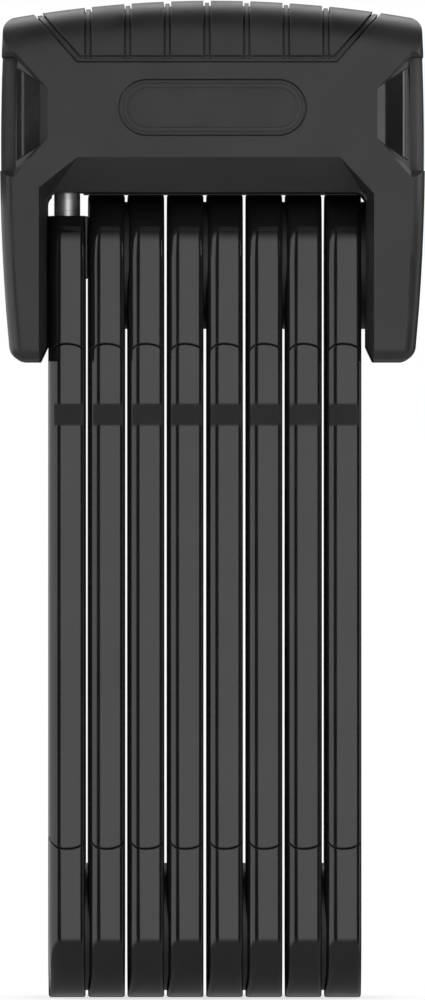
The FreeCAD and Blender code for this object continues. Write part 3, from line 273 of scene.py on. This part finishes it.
def moulded_plastic(name, level, rough, grain, grain_depth, edge_level):
    """Matte moulded plastic: fine grain, cloudy sheen and slightly polished edges."""
    material, g = make_material(name)
    cloud = g.noise(9 * MM, 3.0)
    fine = g.noise(grain, 3.0, 0.6)
    speck = g.noise(grain * 3, 2.0)
    worn = g.wear(EDGE_RADIUS)
    body = g.mix(g.ramp(cloud, *CLOUD_SPAN), grey(level * 0.9), grey(level * 1.1))
    body = g.mix(g.ramp(speck, 0.6, 0.8, 0.0, 0.35), body, grey(level * 1.5))
    colour = g.mix(g.math("MULTIPLY", worn, 0.6), body, grey(edge_level))
    roughness = g.ramp(cloud, *CLOUD_SPAN, rough - 0.05, rough + 0.05)
    roughness = g.math("ADD", roughness, g.math("MULTIPLY", worn, -0.12))
    normal = g.bump(fine, grain_depth, g.soft_edge(EDGE_RADIUS * 0.6))
    finish(g, Base_Color=colour, Roughness=roughness, Normal=normal, IOR=1.46)
    return material


def gloss_plastic(name, level, rough, ripple_depth, edge_level, edge_radius):
    """Glossy moulded coating: slight orange peel, fine scratches along Z and duller edges."""
    material, g = make_material(name)
    cloud = g.noise(14 * MM, 2.0)
    peel = g.noise(2.2 * MM, 2.0)
    scratch = g.noise(0.25 * MM, 2.0, 0.7, (1.0, 1.0, 0.06))
    worn = g.wear(WEAR_RADIUS)
    body = g.mix(g.ramp(cloud, *CLOUD_SPAN), grey(level * 0.85), grey(level * 1.15))
    colour = g.mix(g.math("MULTIPLY", worn, 0.5), body, grey(edge_level))
    rubbed = g.ramp(scratch, 0.55, 0.75, 0.0, 0.07)
    roughness = g.math("ADD", g.ramp(cloud, *CLOUD_SPAN, rough - 0.02, rough + 0.03), rubbed)
    roughness = g.math("ADD", roughness, g.math("MULTIPLY", worn, 0.08))
    normal = g.bump(peel, ripple_depth, g.soft_edge(edge_radius))
    finish(g, Base_Color=colour, Roughness=roughness, Normal=normal, IOR=1.5)
    return material


def panel_plastic(name, lens_y):
    """Side panel: a glossy lens in front of the depth `lens_y`, matte moulded plastic behind it."""
    material, g = make_material(name)
    depth = g.add("SeparateXYZ", {0: g.place()}).outputs["Y"]
    matte = g.ramp(depth, *(lens_y - before for before in LENS_EDGE))
    cloud = g.noise(10 * MM, 3.0)
    fine = g.noise(0.16 * MM, 3.0, 0.6)
    worn = g.wear(WEAR_RADIUS)
    body = g.mix(matte, grey(0.011), grey(0.026))
    body = g.mix(g.ramp(cloud, 0.35, 0.7, 0.0, 0.25), body, grey(0.03))
    colour = g.mix(g.math("MULTIPLY", worn, 0.4), body, grey(0.04))
    rough = g.math("ADD", g.ramp(cloud, *CLOUD_SPAN, 0.12, 0.17), g.math("MULTIPLY", matte, 0.33))
    normal = g.bump(fine, g.math("MULTIPLY", matte, 0.006 * MM), g.soft_edge(0.25 * MM))
    finish(g, Base_Color=colour, Roughness=rough, Normal=normal, IOR=1.5)
    return material


def ground_metal(name, colour, rough, brush):
    """Machined metal: brush lines, long on the axes where `brush` is small, and slightly darker stains."""
    material, g = make_material(name)
    lines = g.noise(0.12 * MM, 3.0, 0.7, brush)
    stain = g.noise(6 * MM, 3.0)
    dark = tuple(c * STAIN_SHARE for c in colour) + (1.0,)
    tone = g.mix(g.ramp(stain, 0.35, 0.7), colour + (1.0,), dark)
    roughness = g.ramp(lines, *CLOUD_SPAN, rough - 0.06, rough + 0.1)
    normal = g.bump(lines, 0.006 * MM, g.soft_edge(0.15 * MM))
    finish(g, Base_Color=tone, Metallic=1.0, Roughness=roughness, Normal=normal)
    return material


def turned_metal(name):
    """Bright lathe-turned steel: fine rings across Z and faint bright and dark bands."""
    material, g = make_material(name)
    rings = g.noise(0.3 * MM, 3.0, 0.65, (0.02, 0.02, 1.0))
    fine = g.noise(0.08 * MM, 2.0, 0.6, (0.05, 0.05, 1.0))
    tone = g.mix(g.ramp(rings, 0.35, 0.7), grey(0.7), grey(0.92))
    roughness = g.ramp(fine, *CLOUD_SPAN, 0.34, 0.5)
    normal = g.bump(rings, 0.01 * MM)
    finish(g, Base_Color=tone, Metallic=0.85, Roughness=roughness, Normal=normal)
    return material


def build_materials():
    """Every material by the record's slot name."""
    materials = {slot: moulded_plastic(slot, *values) for slot, values in MOULDED.items()}
    materials.update({slot: gloss_plastic(slot, *values) for slot, values in GLOSSY.items()})
    materials.update({slot: ground_metal(slot, *values) for slot, values in METALS.items()})
    lens_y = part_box("side_panel")[0].y + LENS_DEPTH
    materials["panel_gloss"] = panel_plastic("panel_gloss", lens_y)
    materials["turned_steel"] = turned_metal("turned_steel")
    return materials


def dress_nodes(materials):
    """Give every CAD node the material of its slot."""
    for row in frame["record"]["subparts"]:
        node = NODES[row["node"]]
        node.data.materials.clear()
        node.data.materials.append(materials[row["material_slot"]])


# ---------------------------------------------------------------- added pieces

def add_piece(name, bm, slot, materials, body):
    """New piece of the lock in its place: smooth up to its sharp edges, and moved with a body."""
    mesh = bpy.data.meshes.new(name)
    bmesh.ops.recalc_face_normals(bm, faces=bm.faces)
    bm.to_mesh(mesh)
    bm.free()
    mesh.shade_smooth()
    mesh.set_sharp_from_angle(angle=SMOOTH_LIMIT)
    mesh.materials.append(materials[slot])
    piece = bpy.data.objects.new(name, mesh)
    bpy.context.scene.collection.objects.link(piece)
    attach(piece, body)
    return piece


def lathe(bm, profile, place, closed=False):
    """Surface turned from (radius, height) points; place(radius, height, angle) gives each point."""
    rings = []
    for radius, height in profile:
        if radius == 0:
            rings.append([bm.verts.new(place(0.0, height, 0.0))] * LATHE_SEGMENTS)
        else:
            angles = [2 * math.pi * k / LATHE_SEGMENTS for k in range(LATHE_SEGMENTS)]
            rings.append([bm.verts.new(place(radius, height, angle)) for angle in angles])
    pairs = list(zip(rings, rings[1:] + rings[:1] if closed else rings[1:]))
    for low, high in pairs:
        for k in range(LATHE_SEGMENTS):
            n = (k + 1) % LATHE_SEGMENTS
            corners = [low[k], low[n], high[n], high[k]]
            bm.faces.new(list(dict.fromkeys(corners)))


def ring_profile(radius, low, high):
    """Closed profile of a thin skin with turned rings between two heights."""
    count = int((high - low) / RING_PITCH)
    step = (high - low) / count
    outer = []
    for index in range(count):
        base = low + index * step
        crest = RING_LIFT + RING_HEIGHT * (1 - RING_UNEVEN + RING_UNEVEN * math.sin(index * RING_PHASE))
        outer.append((radius + RING_LIFT, base))
        outer += [(radius + crest, base + step * share) for share in RING_CREST]
    inner = radius - RING_HEIGHT
    return outer + [(radius + RING_LIFT, high), (inner, high), (inner, low)]


def pin_turning(materials):
    """Fine turned rings on the locking pin's shaft and on its head."""
    low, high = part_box("locking_pin")
    centre = (low + high) / 2
    radius = (high.x - low.x) / 2
    head_low, neck_low = (high.z - depth for depth in NECK_BELOW_TIP)
    bm = bmesh.new()

    def place(r, height, angle):
        return (centre.x + r * math.cos(angle), centre.y + r * math.sin(angle), height)

    for z_low, z_high in ((high.z - PIN_SEAT_BELOW_TIP, neck_low), (head_low, high.z - PIN_CHAMFER)):
        lathe(bm, ring_profile(radius, z_low + RING_END_GAP, z_high - RING_END_GAP), place, closed=True)
    add_piece("pin_turning", bm, "turned_steel", materials, BODY_OF["locking_pin"])


def rivet_domes(number, materials):
    """Peened domes with a dimple on the open ends of one hinge rivet."""
    name = f"rivet_{number}"
    low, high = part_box(name)
    centre = (low + high) / 2
    ends = [(low.x, -1)] if BODY_OF[name] == "head" else [(low.x, -1), (high.x, 1)]
    bm = bmesh.new()
    for face, side in ends:
        def place(r, height, angle):
            return (face + side * height, centre.y + r * math.cos(angle), centre.z + r * math.sin(angle))

        lathe(bm, [(r * MM, height * MM) for r, height in DOME_PROFILE], place)
    add_piece(f"rivet_domes_{number}", bm, "rivet_black", materials, BODY_OF[name])


def stadium_path(half_width, radius):
    """Points, with outward directions, round a stadium in front view."""
    reach = half_width - radius
    path = []
    for side, start in ((1, -90), (-1, 90)):
        for step in range(BEAD_ARC_STEPS + 1):
            angle = math.radians(start + 180 * step / BEAD_ARC_STEPS)
            out = Vector((math.cos(angle), 0.0, math.sin(angle)))
            path.append((Vector((side * reach, 0.0, 0.0)) + out * radius, out))
    return path


def emblem_bead(materials):
    """Thin half-round bead along the rim of the emblem."""
    low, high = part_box("emblem_plate")
    centre = Vector(((low.x + high.x) / 2, low.y, (low.z + high.z) / 2))
    radius = (high.z - low.z) / 2 - BEAD_INSET
    path = stadium_path((high.x - low.x) / 2 - BEAD_INSET, radius)
    inward = Vector((0.0, 1.0, 0.0))
    bm = bmesh.new()
    rings = []
    for point, out in path:
        base = centre + point
        round_rim = [out * math.cos(angle) - inward * math.sin(angle) for angle in BEAD_SECTION]
        rings.append([bm.verts.new(base + BEAD_RADIUS * offset) for offset in round_rim])
    for ring, following in zip(rings, rings[1:] + rings[:1]):
        for k in range(len(BEAD_SECTION)):
            n = (k + 1) % len(BEAD_SECTION)
            bm.faces.new([ring[k], ring[n], following[n], following[k]])
    add_piece("emblem_bead", bm, "emblem_plastic", materials, BODY_OF["emblem_plate"])


def add_pieces(materials):
    """Every piece that the CAD parts don't have."""
    pin_turning(materials)
    emblem_bead(materials)
    for number in range(1, LINK_COUNT + 1):
        rivet_domes(number, materials)


# ---------------------------------------------------------------- studio

def studio_level(g, direction):
    """Brightness along a direction: front card, open left, right and upper rear sides, dark between."""
    x, y, z = (g.add("SeparateXYZ", {0: direction}).outputs[axis] for axis in "XYZ")
    to_degrees = math.degrees(1.0)
    azimuth = g.math("MULTIPLY", g.math("ARCTAN2", x, g.math("ABSOLUTE", y)), to_degrees)
    elevation = g.math("MULTIPLY", g.math("ARCSINE", z), to_degrees)
    card_left, card_right = CARD_AZIMUTH
    height = g.math("MULTIPLY", g.ramp(elevation, *CARD_TOP, 1.0, 0.0), g.ramp(elevation, *CARD_LOW))
    card = g.math("MULTIPLY", g.ramp(azimuth, card_left - CARD_BLUR, card_left + CARD_BLUR, 0.0, CARD_LEVEL),
                  g.ramp(azimuth, card_right - CARD_BLUR, card_right + CARD_BLUR, 1.0, 0.0))
    card = g.math("MULTIPLY", card, g.ramp(y, -FRONT_BLUR, FRONT_BLUR, 1.0, 0.0))
    left = g.ramp(azimuth, *LEFT_AZIMUTH, LEFT_LEVEL, 0.0)
    right = g.ramp(azimuth, *RIGHT_AZIMUTH, 0.0, RIGHT_LEVEL)
    walls = g.math("MULTIPLY", g.math("ADD", card, g.math("ADD", left, right)), height)
    rear = g.math("MULTIPLY", g.ramp(elevation, *REAR_ELEVATION, 0.0, REAR_LEVEL), g.ramp(y, *REAR_DEPTH))
    table = g.ramp(elevation, *CARD_LOW, TABLE_LEVEL, ROOM_LEVEL)
    return g.math("ADD", g.math("ADD", walls, rear), table)


def build_world():
    """White surround for the camera, and the studio for every other ray."""
    world = bpy.data.worlds.new("studio")
    bpy.context.scene.world = world
    world.use_nodes = True
    g = Graph(world.node_tree)
    level = studio_level(g, g.add("TexCoord").outputs["Generated"])
    studio = g.add("Background", {"Color": grey(1.0), "Strength": level})
    white = g.add("Background", {"Color": grey(1.0), "Strength": 1.0})
    seen = g.add("LightPath").outputs["Is Camera Ray"]
    mixed = g.add("MixShader", {0: seen, 1: studio.outputs[0], 2: white.outputs[0]})
    g.add("OutputWorld", {"Surface": mixed.outputs[0]})


def area_light(name, place, target, size, power, glossy=False):
    """Soft box aimed at a point."""
    data = bpy.data.lights.new(name, "AREA")
    data.shape = "RECTANGLE"
    data.size, data.size_y = size
    data.energy = power
    light = bpy.data.objects.new(name, data)
    light.location = place
    light.rotation_euler = (Vector(target) - Vector(place)).to_track_quat("-Z", "Y").to_euler()
    light.visible_glossy = glossy
    light.visible_camera = False
    bpy.context.scene.collection.objects.link(light)
    return light


def build_lights(centre):
    """Near key from the front right, a weak fill from the left, and lights from behind and over the crown."""
    for name, (place, size, power) in LIGHTS.items():
        area_light(name, centre + Vector(place), centre, size, power)


def light_pin(centre):
    """Soft box that only the locking pin sees."""
    place, size, power = PIN_LIGHT
    light = area_light("pin_light", centre + Vector(place), centre, size, power, glossy=True)
    seen_by = bpy.data.collections.new("pin_light_receivers")
    for piece in (NODES["locking_pin"], bpy.data.objects["pin_turning"]):
        seen_by.objects.link(piece)
    light.light_linking.receiver_collection = seen_by


def stage_card(name, bm, material):
    """Object of the studio, not of the lock."""
    mesh = bpy.data.meshes.new(name)
    bm.to_mesh(mesh)
    bm.free()
    mesh.materials.append(material)
    card = bpy.data.objects.new(name, mesh)
    bpy.context.scene.collection.objects.link(card)
    return card


def table_material():
    """Clear to the camera but for a soft contact shadow, a mirror of the studio in reflections, else pale."""
    material, g = make_material("table_pale")
    cloud = g.noise(0.4, 2.0)
    tone = g.mix(g.ramp(cloud, *CLOUD_SPAN), *(grey(level) for level in TABLE_TONES))
    covered = g.add("AmbientOcclusion", {"Distance": CONTACT_REACH}, samples=CONTACT_SAMPLES).outputs["AO"]
    shadow = g.mix(g.ramp(covered, *CONTACT_SPAN), grey(CONTACT_LEVEL), grey(1.0))
    clear = g.add("BsdfTransparent", {"Color": shadow})
    incoming = g.add("NewGeometry").outputs["Incoming"]
    onward = g.add("VectorMath", {0: incoming, "Scale": -1.0}, operation="SCALE").outputs["Vector"]
    mirrored = g.add("Emission", {"Color": grey(1.0), "Strength": studio_level(g, onward)})
    pale = g.add("BsdfDiffuse", {"Color": tone})
    path = g.add("LightPath")
    rest = g.add("MixShader", {0: path.outputs["Is Glossy Ray"], 1: pale.outputs[0], 2: mirrored.outputs[0]})
    mixed = g.add("MixShader", {0: path.outputs["Is Camera Ray"], 1: rest.outputs[0], 2: clear.outputs[0]})
    g.add("OutputMaterial", {"Surface": mixed.outputs[0]})
    return material


def build_table():
    """Plain pale table under the lock."""
    bm = bmesh.new()
    bmesh.ops.create_grid(bm, x_segments=2, y_segments=2, size=TABLE_HALF_SIZE)
    table = stage_card("table", bm, table_material())
    table.location.z = CAD_BOUNDS[0][2] - TABLE_DROP


def reflected_card(name, corners, level):
    """Flat card that shows only in mirror images; its edges run along the axes."""
    bm = bmesh.new()
    bm.faces.new([bm.verts.new(corner) for corner in corners])
    material, g = make_material(name)
    glow = g.add("Emission", {"Color": grey(1.0), "Strength": level})
    g.add("OutputMaterial", {"Surface": glow.outputs[0]})
    card = stage_card(name, bm, material)
    card.visible_camera = False
    card.visible_diffuse = False
    card.visible_shadow = False


def link_flag():
    """Dim flag in front of the links, for the darker band in their upper part."""
    low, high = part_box("link_sleeve_1")[0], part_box(f"link_sleeve_{LINK_COUNT}")[1]
    foot, top = (sum(corner.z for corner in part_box(f"washer_{n}")) / 2 for n in (1, 2))
    z_low, z_high = (foot + (top - foot) * share for share in FLAG_SHARE)
    left, right, y = low.x - FLAG_REACH, high.x + FLAG_REACH, low.y - FLAG_DISTANCE
    corners = [(left, y, z_low), (right, y, z_low), (right, y, z_high), (left, y, z_high)]
    reflected_card("link_flag", corners, FLAG_LEVEL)


def side_card(name, panel, side, card):
    """Card beside a side panel; `card` gives its two edges from the head's front, and its level."""
    front, rear, level = card
    low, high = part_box(panel)
    x = (CAD_BOUNDS[0] if side < 0 else CAD_BOUNDS[1])[0] + side * SIDE_CARD_DISTANCE
    y_front, y_rear = CAD_BOUNDS[0][1] + front, CAD_BOUNDS[0][1] + rear
    z_low, z_high = low.z - SIDE_CARD_MARGIN, high.z + SIDE_CARD_MARGIN
    corners = [(x, y_front, z_low), (x, y_rear, z_low), (x, y_rear, z_high), (x, y_front, z_high)]
    reflected_card(name, corners, level)


def build_camera():
    """Long lens square to the front; the lock's height fills the frame at its front plane."""
    low, high = (Vector(corner) for corner in CAD_BOUNDS)
    centre = (low + high) / 2
    height = high.z - low.z
    plane_y = centre.y + (low.y - centre.y) * FRONT_PLANE_SHARE
    data = bpy.data.cameras.new("camera")
    data.sensor_width = CAMERA_SENSOR
    data.lens = CAMERA_SENSOR * CAMERA_DISTANCE / height
    data.clip_end = CAMERA_REACH
    camera = bpy.data.objects.new("camera", data)
    camera.location = (0.0, plane_y - CAMERA_DISTANCE, centre.z)
    camera.rotation_euler = (math.pi / 2, 0.0, 0.0)
    bpy.context.scene.collection.objects.link(camera)
    bpy.context.scene.camera = camera
    bpy.context.scene.view_settings.view_transform = "Standard"


low_corner, high_corner = (Vector(corner) for corner in CAD_BOUNDS)
slot_materials = build_materials()
dress_nodes(slot_materials)
add_pieces(slot_materials)
build_world()
build_lights((low_corner + high_corner) / 2)
light_pin(sum(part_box("locking_pin"), Vector()) / 2)
build_table()
link_flag()
side_card("shoulder_flag", "keyhole_panel", -1, SHOULDER_FLAG)
side_card("lens_card", "side_panel", 1, LENS_CARD)
build_camera()
